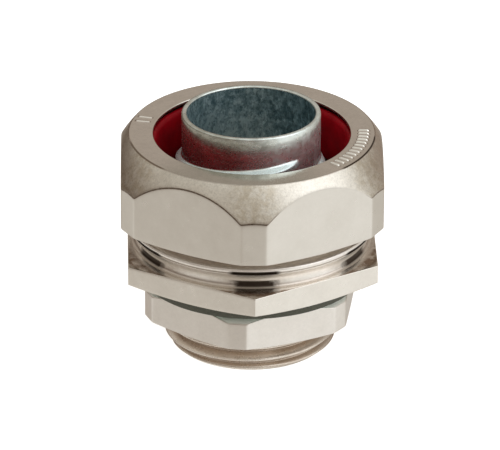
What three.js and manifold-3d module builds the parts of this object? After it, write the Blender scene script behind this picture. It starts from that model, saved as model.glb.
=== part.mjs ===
// Liquid-tight conduit gland, M20 x 1.5 entry thread, for 16 mm (1/2 inch) conduit.
// Millimetres, +Z up the gland's axis, z = 0 at the end of the entry thread.
// The -Y side carries a corner of the hexagons.
import * as THREE from 'three';
import { mergeVertices } from 'three/addons/utils/BufferGeometryUtils.js';
import Module from 'manifold-3d';

const wasm = await Module();
wasm.setup();

// ---- driving dimensions (mm) ----
const SEG = 60;                    // sides of a full turn

const PITCH = 1.5;                 // both threads
const ENTRY_MAJOR = 10.0;          // M20 x 1.5 radius
const ENTRY_MINOR = 9.08;
const ENTRY_BORE = 7.9;
const FLANGE_Z0 = 10.09;           // underside of the hexagon flange
const FLANGE_Z1 = 12.87;           // its top
const FLANGE_APOTHEM = 14.28;      // 28.5 across flats
const FLANGE_TURN = 1.7;           // degrees about Z
const FLANGE_CHAMFER = 0.55;       // height of the underside chamfer at a corner
const COLLAR_R = 14.26;
const COLLAR_Z = 15.55;            // top of the turned collar
const BODY_MAJOR = 13.5;           // M27 x 1.5 radius, carries the compression nut
const BODY_MINOR = 12.58;
const BODY_TOP = 21.0;
const SEAT_Z = 13.7;               // floor of the ferrule's seat
const SEAT_R = 10.9;

const NUT_Z0 = 16.70;
const NUT_Z1 = 26.05;
const NUT_APOTHEM = 15.0;          // 30 across flats
const NUT_FACET = 16.45;           // distance of the six truncated corners
const NUT_TURN = 1.07;             // degrees about Z
const NUT_RING_R = 14.08;          // outer edge of the flat top ring
const NUT_OPENING = 11.3;
const NUT_BORE = 13.85;            // clears the body's thread crests

const FERRULE_R = 7.97;
const FERRULE_WALL = 0.6;
const FERRULE_Z0 = 14.0;
const FERRULE_TOP = 28.63;
const FERRULE_FLARE = 10.3;
const RIDGE_R = 8.7;               // crest of the rolled helical ridge
const RIDGE_LEAD = 5.0;            // two starts, half a turn apart
const RIDGE_END = -43;             // degrees about Z where the first start runs out
const RIDGE_END_Z = 24.7;

const LOCK_Z0 = 4.3;
const LOCK_Z1 = 8.55;
const LOCK_APOTHEM = 11.68;        // 23.4 across flats
const LOCK_FACET = 12.86;          // distance of its truncated corners
const LOCK_TURN = -6.8;
const LOCK_BORE = 10.35;

const GASKET_R = 13.15;
const GASKET_BORE = 10.35;
const GASKET_Z0 = 8.87;
const GASKET_Z1 = 9.79;

// ---- helpers ----
function toManifold(geometry) {
  let g = geometry.clone();
  g.deleteAttribute('normal');
  g.deleteAttribute('uv');
  g = mergeVertices(g, 1e-5);
  const vertProperties = new Float32Array(g.attributes.position.array);
  const triVerts = new Uint32Array(g.index.array);
  return new wasm.Manifold(new wasm.Mesh({ numProp: 3, vertProperties, triVerts }));
}
function toGeometry(solid) {
  const m = solid.getMesh();
  const g = new THREE.BufferGeometry();
  g.setAttribute('position', new THREE.BufferAttribute(new Float32Array(m.vertProperties), 3));
  g.setIndex(new THREE.BufferAttribute(new Uint32Array(m.triVerts), 1));
  const flat = g.toNonIndexed();
  flat.computeVertexNormals();
  return flat;
}
// closed lathe about Z from [radius, z] points given counter-clockwise in the (r, z) half plane
function latheZ(points, turn = 0, segments = SEG) {
  const pts = points.map(([r, z]) => new THREE.Vector2(r, z));
  pts.push(pts[0].clone());
  const g = new THREE.LatheGeometry(pts, segments);
  g.rotateX(Math.PI / 2);          // the lathe's Y axis becomes Z
  if (turn) g.rotateZ(turn * Math.PI / 180);
  return toManifold(g);
}
// prism between z0 and z1 on a polygon
function prismZ(poly, z0, z1) {
  const shape = new THREE.Shape(poly.map(([x, y]) => new THREE.Vector2(x, y)));
  const g = new THREE.ExtrudeGeometry(shape, { depth: z1 - z0, bevelEnabled: false });
  g.translate(0, 0, z0);
  return toManifold(g);
}
// hexagon with its six corners cut off at distance facet; corner 0 looks along -Y
function truncatedHexagon(apothem, facet, turn) {
  const poly = [];
  for (let k = 0; k < 6; k++) {
    const a = (-90 + 60 * k + turn) * Math.PI / 180;
    const half = (apothem - facet * Math.cos(Math.PI / 6)) / Math.sin(Math.PI / 6);
    for (const s of [-1, 1]) {
      poly.push([
        facet * Math.cos(a) - s * half * Math.sin(a),
        facet * Math.sin(a) + s * half * Math.cos(a),
      ]);
    }
  }
  return poly;
}
function hexagon(apothem, turn) {
  const r = apothem / Math.cos(Math.PI / 6);
  return [0, 1, 2, 3, 4, 5].map((k) => {
    const a = (-90 + 60 * k + turn) * Math.PI / 180;
    return [r * Math.cos(a), r * Math.sin(a)];
  });
}
// one rounded or pointed ridge wound on a cylinder: section is [[radius, dz], ...], counter-clockwise
// in (r, z); the ridge fades in and out over the first and last fade degrees
function helixRidge(section, pitch, zStart, turns, phase, rBase, fade = 66, step = 6) {
  const n = Math.round(turns * 360 / step);
  const m = section.length;
  const pos = [];
  for (let i = 0; i <= n; i++) {
    const deg = i * step;
    const k = Math.min(1, Math.min(deg, n * step - deg) / fade + 0.02);
    const a = (phase + deg) * Math.PI / 180;
    const zc = zStart + pitch * deg / 360;
    for (const [r, dz] of section) {
      const rr = r > rBase ? rBase + (r - rBase) * k : r;
      pos.push(rr * Math.cos(a), rr * Math.sin(a), zc + dz);
    }
  }
  const idx = [];
  for (let i = 0; i < n; i++) {
    for (let j = 0; j < m; j++) {
      const a = i * m + j;
      const b = i * m + (j + 1) % m;
      idx.push(a, a + m, b, b, a + m, b + m);
    }
  }
  for (let j = 1; j < m - 1; j++) {
    idx.push(0, j, j + 1);
    idx.push(n * m, n * m + j + 1, n * m + j);
  }
  const g = new THREE.BufferGeometry();
  g.setAttribute('position', new THREE.Float32BufferAttribute(pos, 3));
  g.setIndex(idx);
  const solid = toManifold(g);
  if (solid.volume() < 0) throw new Error('ridge is inside out');
  return solid;
}
function piece(name, solid, color, roughness, metalness) {
  const mesh = new THREE.Mesh(
    toGeometry(solid),
    new THREE.MeshStandardMaterial({ color, roughness, metalness }),
  );
  mesh.name = name;
  return mesh;
}

// ---- gland body: entry thread, hexagon flange, turned collar, upper thread, all one turning ----
function makeBody() {
  // everything round, with the through bore, ferrule seat and the cone for the sealing ring
  let solid = latheZ([
    [ENTRY_BORE, 0.4], [ENTRY_BORE + 0.35, 0], [8.85, 0], [ENTRY_MINOR, 0.25],
    [ENTRY_MINOR, 10.6], [13.3, 10.6], [13.3, 12.2], [13.9, 12.6],
    [13.9, FLANGE_Z1], [13.62, 12.98], [13.48, 13.25], [13.46, 13.6], [13.55, 14.0], [13.78, 14.4],
    [14.12, 14.74], [14.2, 14.82], [14.08, 14.88], [14.08, 14.96], [COLLAR_R, 15.02],
    [COLLAR_R, 15.25], [14.1, 15.42], [13.75, COLLAR_Z], [BODY_MINOR - 0.1, 15.7],
    [BODY_MINOR - 0.1, 16.3], [BODY_MINOR, 16.4], [BODY_MINOR, BODY_TOP - 0.2],
    [12.4, BODY_TOP], [12.1, BODY_TOP], [11.3, 18.0], [SEAT_R, 17.6],
    [SEAT_R, SEAT_Z], [ENTRY_BORE, SEAT_Z],
  ]);
  // hexagon flange with its underside corners turned off
  const hex = prismZ(hexagon(FLANGE_APOTHEM, FLANGE_TURN), FLANGE_Z0, FLANGE_Z1);
  const turned = latheZ([
    [12.0, FLANGE_Z0 - 0.5], [FLANGE_APOTHEM - 0.1, FLANGE_Z0],
    [16.6, FLANGE_Z0 + FLANGE_CHAMFER * 1.05], [16.6, FLANGE_Z1 + 0.5], [12.0, FLANGE_Z1 + 0.5],
  ], 1.9);
  const core = latheZ([[9.5, FLANGE_Z0], [13.2, FLANGE_Z0], [13.2, FLANGE_Z1 - 0.2], [9.5, FLANGE_Z1 - 0.2]], 0.9);
  solid = solid.add(hex.intersect(turned)).add(core.intersect(hex));
  // entry thread, 60 degree flanks
  solid = solid.add(helixRidge(
    [[ENTRY_MINOR - 0.25, -0.62], [ENTRY_MAJOR, -0.09], [ENTRY_MAJOR, 0.09], [ENTRY_MINOR - 0.25, 0.62]],
    PITCH, 0.85, 5.6, 150, ENTRY_MINOR));
  // upper thread
  solid = solid.add(helixRidge(
    [[BODY_MINOR - 0.25, -0.62], [BODY_MAJOR, -0.09], [BODY_MAJOR, 0.09], [BODY_MINOR - 0.25, 0.62]],
    PITCH, 16.75, 2.4, 42, BODY_MINOR));
  return solid;
}

// ---- compression nut: truncated hexagon under a domed chamfer ----
function makeNut() {
  const dome = [];
  for (const d of [0, 0.35, 0.75, 1.2, 1.7, 2.2, 2.7]) {
    dome.push([NUT_RING_R + d, NUT_Z1 - (1.09 * d + 0.21 * d * d)]);
  }
  const profile = [
    [NUT_BORE, NUT_Z0], [14.9, NUT_Z0], [16.78, NUT_Z0 + 0.42],
    ...dome.reverse(),
    [NUT_OPENING + 0.15, NUT_Z1], [NUT_OPENING, NUT_Z1 - 0.15], [NUT_OPENING, 25.72],
    [12.05, 25.52], [13.2, 23.5], [NUT_BORE, 22.9],
  ];
  const round = latheZ(profile);
  const prism = prismZ(truncatedHexagon(NUT_APOTHEM, NUT_FACET, NUT_TURN), NUT_Z0 - 1, NUT_Z1 + 1);
  return round.intersect(prism);
}

// ---- sealing ring: tapered polyamide ring between the nut's inner cone and the body's rim ----
function makeSealingRing() {
  return latheZ([
    [10.75, 19.6], [11.15, 19.6], [11.85, 22.2], [12.85, 22.35], [12.85, 23.3], [11.75, 25.22],
    [11.25, 25.3], [10.98, 25.0], [10.75, 24.2],
  ]);
}

// ---- ferrule: rolled steel sleeve with a flared foot and a helical ridge ----
function makeFerrule() {
  const inner = FERRULE_R - FERRULE_WALL;
  const sleeve = latheZ([
    [inner, FERRULE_TOP - 0.12], [inner, FERRULE_Z0 + 0.9], [inner + 0.25, FERRULE_Z0 + 0.25],
    [inner + 0.9, FERRULE_Z0], [FERRULE_FLARE - 0.15, FERRULE_Z0], [FERRULE_FLARE, FERRULE_Z0 + 0.15],
    [FERRULE_FLARE, FERRULE_Z0 + 0.55], [FERRULE_FLARE - 0.15, FERRULE_Z0 + 0.7],
    [FERRULE_R + 0.55, FERRULE_Z0 + 0.7], [FERRULE_R + 0.15, FERRULE_Z0 + 0.85],
    [FERRULE_R, FERRULE_Z0 + 1.25], [FERRULE_R, FERRULE_TOP - 0.15],
    [FERRULE_R - 0.15, FERRULE_TOP], [inner + 0.12, FERRULE_TOP],
  ]);
  const section = [
    [FERRULE_R - 0.25, -0.68], [FERRULE_R + 0.08, -0.62], [RIDGE_R - 0.2, -0.36], [RIDGE_R, -0.13],
    [RIDGE_R, 0.13], [RIDGE_R - 0.2, 0.36], [FERRULE_R + 0.08, 0.62], [FERRULE_R - 0.25, 0.68],
  ];
  const turns = 1.25;
  const zStart = RIDGE_END_Z - RIDGE_LEAD * turns;
  const first = helixRidge(section, RIDGE_LEAD, zStart, turns, RIDGE_END - 360 * turns, FERRULE_R, 24);
  // the second start runs out 126 degrees sooner
  const second = helixRidge(section, RIDGE_LEAD, zStart, turns - 0.35, RIDGE_END + 180 - 360 * turns, FERRULE_R, 24);
  return sleeve.add(first).add(second);
}

// ---- lock nut and the gasket that it clamps ----
function makeLockNut() {
  const round = latheZ([
    [LOCK_BORE, LOCK_Z0 + 0.3], [LOCK_BORE + 0.3, LOCK_Z0], [11.5, LOCK_Z0], [13.1, LOCK_Z0 + 0.3],
    [13.1, LOCK_Z1 - 0.90], [11.3, LOCK_Z1], [LOCK_BORE + 0.3, LOCK_Z1], [LOCK_BORE, LOCK_Z1 - 0.3],
  ]);
  const prism = prismZ(truncatedHexagon(LOCK_APOTHEM, LOCK_FACET, LOCK_TURN), LOCK_Z0 - 1, LOCK_Z1 + 1);
  return round.intersect(prism);
}
function makeGasket() {
  return latheZ([
    [GASKET_BORE, GASKET_Z0], [GASKET_R - 0.12, GASKET_Z0], [GASKET_R, GASKET_Z0 + 0.12],
    [GASKET_R, GASKET_Z1 - 0.12], [GASKET_R - 0.12, GASKET_Z1], [GASKET_BORE, GASKET_Z1],
  ]);
}

const gland = new THREE.Group();
gland.add(piece('gland_body', makeBody(), 0xb9ad9f, 0.3, 1.0));
gland.add(piece('compression_nut', makeNut(), 0xbdb3a6, 0.3, 1.0));
gland.add(piece('sealing_ring', makeSealingRing(), 0x8a0c12, 0.35, 0.0));
gland.add(piece('ferrule', makeFerrule(), 0x8b9699, 0.38, 1.0));
gland.add(piece('entry_gasket', makeGasket(), 0x21402f, 0.6, 0.0));
gland.add(piece('lock_nut', makeLockNut(), 0xc4b9ad, 0.3, 1.0));

export default gland;
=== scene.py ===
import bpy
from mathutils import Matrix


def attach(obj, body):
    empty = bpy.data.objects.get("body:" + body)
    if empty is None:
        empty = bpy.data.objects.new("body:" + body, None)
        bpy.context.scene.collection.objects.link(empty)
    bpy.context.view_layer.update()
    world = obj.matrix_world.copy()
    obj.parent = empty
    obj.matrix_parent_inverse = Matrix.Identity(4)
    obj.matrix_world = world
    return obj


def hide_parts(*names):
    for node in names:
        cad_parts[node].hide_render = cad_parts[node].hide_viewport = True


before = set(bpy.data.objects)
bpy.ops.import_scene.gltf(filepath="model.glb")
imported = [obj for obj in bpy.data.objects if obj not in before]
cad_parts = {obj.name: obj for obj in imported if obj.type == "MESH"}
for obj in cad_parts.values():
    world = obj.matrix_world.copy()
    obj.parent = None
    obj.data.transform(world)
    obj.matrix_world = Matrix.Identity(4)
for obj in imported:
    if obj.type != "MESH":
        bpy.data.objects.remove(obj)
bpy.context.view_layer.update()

import math

import bmesh
import bpy
import numpy as np
from mathutils import Matrix, Quaternion, Vector

# ------------------------------------------------------------------ dimensions (mm), as in the CAD
PITCH = 1.5
ENTRY_MAJOR, ENTRY_MINOR, ENTRY_BORE = 10.0, 9.08, 7.9
FLANGE_Z0, FLANGE_Z1, FLANGE_A, FLANGE_TURN = 10.09, 12.87, 14.28, 1.7
COLLAR_R = 14.26
BODY_MAJOR, BODY_MINOR, BODY_TOP = 13.5, 12.58, 21.0
SEAT_Z, SEAT_R = 13.7, 10.9
NUT_Z0, NUT_Z1, NUT_A, NUT_F, NUT_TURN = 16.70, 26.05, 15.0, 16.45, 1.07
NUT_RING_R, NUT_OPENING, NUT_BORE = 14.08, 11.3, 13.85
FERRULE_R, FERRULE_WALL, FERRULE_Z0, FERRULE_TOP, FERRULE_FLARE = 7.97, 0.6, 14.0, 28.41, 10.3
RIDGE_R, RIDGE_LEAD, RIDGE_END, RIDGE_END_Z = 8.7, 5.0, -43.0, 24.7
LOCK_Z0, LOCK_Z1, LOCK_A, LOCK_F, LOCK_TURN, LOCK_BORE = 4.3, 8.55, 11.68, 12.86, -6.8, 10.35
GASKET_R, GASKET_BORE, GASKET_Z0, GASKET_Z1 = 13.15, 10.35, 8.63, 10.07

rad = math.radians


# ------------------------------------------------------------------ mesh tools
def smin(a, b, k):
    """Smooth minimum: k is about half the width over which the two surfaces blend."""
    m = np.minimum(a, b)
    return m - k * np.log(np.exp(-(a - m) / k) + np.exp(-(b - m) / k))


def smooth(x, lo, hi):
    t = np.clip((x - lo) / (hi - lo), 0.0, 1.0)
    return t * t * (3 - 2 * t)


def polygon_radius(theta, planes, k):
    """Radius of a convex outline at each angle, its corners rounded over about k."""
    rs = []
    for a, d in planes:
        c = np.cos(theta - a)
        rs.append(np.where(c > 0.2, d / np.maximum(c, 0.2), 1e3))
    rs = np.array(rs)
    m = rs.min(axis=0)
    return m - k * np.log(np.exp(-(rs - m) / k).sum(axis=0))


def truncated_planes(apothem, facet, turn):
    out = []
    for i in range(6):
        out.append((rad(-90 + 60 * i + turn), facet))
        out.append((rad(-60 + 60 * i + turn), apothem))
    return out


def corner_angles(apothem, facet, turn):
    half = (apothem - facet * math.cos(math.pi / 6)) / math.sin(math.pi / 6)
    d = math.degrees(math.atan2(half, facet))
    return [-90 + 60 * i + turn + s * d for i in range(6) for s in (-1, 1)]


def columns(step, special=(), spread=(0.0, 0.12, 0.25, 0.45, 0.8, 1.3), dense=(), dense_step=0.3, start=-180.0):
    """Angles for one turn from start, finer at the special angles and in the dense stretches."""
    s = {round(start + i * step, 4) for i in range(int(round(360 / step)))}
    for a in special:
        for d in spread:
            for g in (-1, 1):
                s.add(round((a + g * d - start) % 360 + start, 4))
    for lo, hi in dense:
        x = lo
        while x < hi:
            s.add(round((x - start) % 360 + start, 4))
            x += dense_step
    s = sorted(s)
    keep = [s[0]]
    for a in s[1:]:
        if a - keep[-1] > 0.04:
            keep.append(a)
    keep.append(start + 360.0)
    return np.radians(np.array(keep))


def grid_object(name, theta, R, Z, zone=None, materials=(), smooth_angle=None):
    """A closed ring-shaped skin: R and Z are (column, row) arrays, rows run round the section,
    counter-clockwise in (r, z), and the last column lies on the first."""
    n, m = R.shape
    X = R * np.cos(theta)[:, None] * 1e-3
    Y = R * np.sin(theta)[:, None] * 1e-3
    V = np.stack([X, Y, Z * 1e-3], axis=2).reshape(-1, 3)
    i = np.arange(n - 1)[:, None]
    j = np.arange(m)[None, :]
    jn = (j + 1) % m
    F = np.stack([i * m + j, (i + 1) * m + j, (i + 1) * m + jn, i * m + jn], axis=2).reshape(-1, 4)
    mesh = bpy.data.meshes.new(name)
    mesh.from_pydata(V.tolist(), [], F.tolist())
    obj = bpy.data.objects.new(name, mesh)
    bpy.context.scene.collection.objects.link(obj)
    for mat in materials:
        mesh.materials.append(mat)
    if zone is not None:
        idx = np.broadcast_to(np.asarray(zone)[None, :], (n - 1, m)).reshape(-1)
        mesh.polygons.foreach_set("material_index", idx.astype(np.int32))
    bm = bmesh.new()
    bm.from_mesh(mesh)
    bmesh.ops.remove_doubles(bm, verts=bm.verts, dist=2e-7)
    bmesh.ops.dissolve_degenerate(bm, edges=bm.edges, dist=1e-8)
    bmesh.ops.recalc_face_normals(bm, faces=bm.faces)
    bm.to_mesh(mesh)
    bm.free()
    mesh.polygons.foreach_set("use_smooth", np.ones(len(mesh.polygons), dtype=bool))
    mesh.update()
    return obj


class Section:
    """Rows of a section for all columns at once: each add gives r, z per column and a material zone."""

    def __init__(self, theta):
        self.t, self.r, self.z, self.zone = theta, [], [], []

    def add(self, r, z, zone=0):
        one = np.ones_like(self.t)
        self.r.append(r * one)
        self.z.append(z * one)
        self.zone.append(zone)

    def path(self, pts, zone=0):
        for r, z in pts:
            self.add(r, z, zone)

    def line(self, r0, z0, r1, z1, n, zone=0, ends=(False, False)):
        for k in range(0 if ends[0] else 1, n + (1 if ends[1] else 0)):
            u = k / n
            self.add(r0 + (r1 - r0) * u, z0 + (z1 - z0) * u, zone)

    def arc(self, cx, cz, radius, a0, a1, n, zone=0):
        """Round edge about (cx, cz), from angle a0 to a1 in degrees, both ends included."""
        for k in range(n + 1):
            a = rad(a0 + (a1 - a0) * k / n)
            self.add(cx + radius * math.cos(a), cz + radius * math.sin(a), zone)

    def thread(self, z_lo, z_hi, pitch, crest_z, r_root, height, shape, limit=None, zone=0, up=True, inward=False, starts=1,
               gain=None):
        """Rows that follow the helix. shape is [(u, h), ...] over one pitch, u = 0 at the crest; crest_z is the
        crest's height at angle 0. Rows past the ends are clamped there."""
        t, per = self.t, pitch / starts
        us = [u for u, _ in shape]
        base = t - t[0]
        k0 = math.floor((z_lo - crest_z - pitch) / per) - 1
        k1 = math.ceil((z_hi - crest_z + pitch) / per) + 1
        hs_u = np.array([-1 + shape[-1][0]] + us + [1 + us[0]])
        hs_h = np.array([shape[-1][1]] + [h for _, h in shape] + [shape[0][1]])
        rows = []
        for k in range(k0, k1 + 1):
            for u in us:
                # height of this phase of turn k at each column
                rows.append(crest_z + per * (k + u) + pitch * t / (2 * math.pi))
        seq = rows if up else rows[::-1]
        for z in seq:
            if z.max() < z_lo or z.min() > z_hi:
                continue
            zc = np.clip(z, z_lo, z_hi)
            ph = ((zc - crest_z - pitch * t / (2 * math.pi)) / per) % 1.0
            h = np.interp(ph, hs_u, hs_h) * height
            if gain is not None:
                h = h * gain(t, zc)
            r = r_root - h if inward else r_root + h
            if limit is not None:
                lim = limit(zc)
                r = np.maximum(r, lim) if inward else np.minimum(r, lim)
            self.add(r, zc, zone)

    def build(self, name, materials):
        return grid_object(name, self.t, np.array(self.r).T, np.array(self.z).T, self.zone, materials)


THREAD = [(0.0, 1.0), (0.045, 0.995), (0.075, 0.95), (0.16, 0.77), (0.25, 0.545), (0.34, 0.32), (0.41, 0.13), (0.45, 0.04),
          (0.5, 0.0), (0.55, 0.04), (0.59, 0.13), (0.66, 0.32), (0.75, 0.545), (0.84, 0.77), (0.925, 0.95), (0.955, 0.995)]


# ------------------------------------------------------------------ materials
def new_material(name):
    m = bpy.data.materials.new(name)
    m.use_nodes = True
    t = m.node_tree
    t.nodes.clear()
    out = t.nodes.new("ShaderNodeOutputMaterial")
    b = t.nodes.new("ShaderNodeBsdfPrincipled")
    t.links.new(b.outputs[0], out.inputs[0])
    return m, t, b


def node(t, kind, **kw):
    n = t.nodes.new(kind)
    for k, v in kw.items():
        if k in n.inputs:
            n.inputs[k].default_value = v
        else:
            setattr(n, k, v)
    return n


def mm_coords(t, scale=(1, 1, 1)):
    """Object coordinates in millimetres."""
    c = t.nodes.new("ShaderNodeTexCoord")
    m = t.nodes.new("ShaderNodeMapping")
    m.inputs["Scale"].default_value = tuple(1000 * s for s in scale)
    t.links.new(c.outputs["Object"], m.inputs[0])
    return m.outputs[0]


def noise(t, vec, scale, detail=3.0, rough=0.5, distortion=0.0):
    n = t.nodes.new("ShaderNodeTexNoise")
    n.inputs["Scale"].default_value = scale
    n.inputs["Detail"].default_value = detail
    n.inputs["Roughness"].default_value = rough
    n.inputs["Distortion"].default_value = distortion
    t.links.new(vec, n.inputs["Vector"])
    return n.outputs["Fac"]


def ramp(t, fac, stops, interpolation="LINEAR"):
    r = t.nodes.new("ShaderNodeValToRGB")
    r.color_ramp.interpolation = interpolation
    el = r.color_ramp.elements
    while len(el) > 1:
        el.remove(el[-1])
    el[0].position, el[0].color = stops[0][0], (*stops[0][1], 1)
    for p, c in stops[1:]:
        e = el.new(p)
        e.color = (*c, 1)
    t.links.new(fac, r.inputs[0])
    return r.outputs[0]


def grey(v):
    return (v, v, v)


def math_node(t, op, a, b=None, clamp=False):
    n = t.nodes.new("ShaderNodeMath")
    n.operation = op
    n.use_clamp = clamp
    for i, v in enumerate((a, b)):
        if v is None:
            continue
        if isinstance(v, (int, float)):
            n.inputs[i].default_value = v
        else:
            t.links.new(v, n.inputs[i])
    return n.outputs[0]


def mix_colour(t, fac, a, b, blend="MIX"):
    n = t.nodes.new("ShaderNodeMix")
    n.data_type = "RGBA"
    n.blend_type = blend
    sockets = [s for s in n.inputs if s.type == "RGBA"]
    for s, v in ((n.inputs[0], fac), (sockets[0], a), (sockets[1], b)):
        if isinstance(v, (int, float)):
            s.default_value = v
        elif isinstance(v, tuple):
            s.default_value = (*v, 1)
        else:
            t.links.new(v, s)
    return [o for o in n.outputs if o.type == "RGBA"][0]


def bump(t, height, strength, distance, normal=None):
    n = t.nodes.new("ShaderNodeBump")
    n.inputs["Strength"].default_value = strength
    n.inputs["Distance"].default_value = distance
    t.links.new(height, n.inputs["Height"])
    if normal is not None:
        t.links.new(normal, n.inputs["Normal"])
    return n.outputs[0]


def polar(t, v):
    """Distance from the axis, height and angle in degrees, in millimetres, from the object's own coordinates."""
    sep = t.nodes.new("ShaderNodeSeparateXYZ")
    t.links.new(v, sep.inputs[0])
    x, y, z = sep.outputs[0], sep.outputs[1], sep.outputs[2]
    r = math_node(t, "SQRT", math_node(t, "ADD", math_node(t, "MULTIPLY", x, x), math_node(t, "MULTIPLY", y, y)))
    a = math_node(t, "MULTIPLY", math_node(t, "ARCTAN2", y, x), 180 / math.pi)
    return r, z, a


def window(t, value, lo, hi, soft):
    """1 between lo and hi, falling to 0 over soft on each side."""
    out = None
    for a, b in ((lo - soft, lo), (hi + soft, hi)):
        m = t.nodes.new("ShaderNodeMapRange")
        m.interpolation_type = "SMOOTHSTEP"
        m.inputs["From Min"].default_value = a
        m.inputs["From Max"].default_value = b
        t.links.new(value, m.inputs[0])
        out = m.outputs[0] if out is None else math_node(t, "MULTIPLY", out, m.outputs[0])
    return out


def corner_window(t, a, turn, half, soft):
    """1 within half degrees of each of the six corners, which lie at -90 + turn and every 60 degrees on."""
    m = math_node(t, "ADD", a, 90 - turn + 30 + 360)
    m = math_node(t, "SUBTRACT", math_node(t, "MODULO", m, 60.0), 30.0)
    return window(t, m, -half, half, soft)


def darken(t, c, mask, amount, tint=(0.30, 0.20, 0.14)):
    return mix_colour(t, math_node(t, "MULTIPLY", mask, amount), c, mix_colour(t, 1.0, c, tint, "MULTIPLY"))


def nickel(name, light, dark, rough_lo, rough_hi, grain=0.25, grain_scale=9.0, pits=0.0, lathe=0.0, wave=0.0, marks=(),
           metallic=1.0, speckle=0.10):
    """Nickel plating over brass: warm grey metal with cloudy tone, fine grain, and optional turning lines, pits or
    marks, mostly painted shade, highlights and reflections: each of marks is a function of (tree, coordinates, colour)
    that returns the new colour."""
    m, t, b = new_material(name)
    v = mm_coords(t)
    cloud = noise(t, v, 0.35, 4.0, 0.55)
    fine = noise(t, v, grain_scale, 4.0, 0.6)
    speck = noise(t, v, 2.4, 5.0, 0.65)
    c = ramp(t, cloud, [(0.3, dark), (0.7, light)])
    shade = ramp(t, speck, [(0.25, grey(1.0 - speckle)), (0.6, grey(1.0)), (0.85, grey(1.0 + speckle / 2))])
    c = mix_colour(t, 1.0, c, shade, "MULTIPLY")
    height = math_node(t, "MULTIPLY", fine, grain)
    if pits:
        p = noise(t, v, 4.6, 5.0, 0.75)
        height = math_node(t, "ADD", height, math_node(t, "MULTIPLY", p, pits))
        c = mix_colour(t, 1.0, c, ramp(t, p, [(0.3, grey(0.78)), (0.55, grey(1.0)), (0.75, grey(1.06))]), "MULTIPLY")
    if wave:
        w = noise(t, v, 0.55, 2.0, 0.4)
        height = math_node(t, "ADD", height, math_node(t, "MULTIPLY", w, wave))
    if lathe:
        # fine turning lines: noise stretched round the axis
        rr, zz, _ = polar(t, v)
        comb = t.nodes.new("ShaderNodeCombineXYZ")
        t.links.new(rr, comb.inputs[0])
        t.links.new(zz, comb.inputs[2])
        lines = noise(t, comb.outputs[0], 11.0, 3.0, 0.6)
        height = math_node(t, "ADD", height, math_node(t, "MULTIPLY", lines, lathe))
        c = mix_colour(t, 1.0, c, ramp(t, lines, [(0.3, grey(0.93)), (0.7, grey(1.04))]), "MULTIPLY")
    for f in marks:
        c = f(t, v, c)
    t.links.new(c, b.inputs["Base Color"])
    b.inputs["Metallic"].default_value = metallic
    r = ramp(t, noise(t, v, 1.3, 5.0, 0.6), [(0.3, grey(rough_lo)), (0.7, grey(rough_hi))])
    t.links.new(r, b.inputs["Roughness"])
    t.links.new(bump(t, height, 1.0, 2.0e-5), b.inputs["Normal"])
    return m


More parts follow.
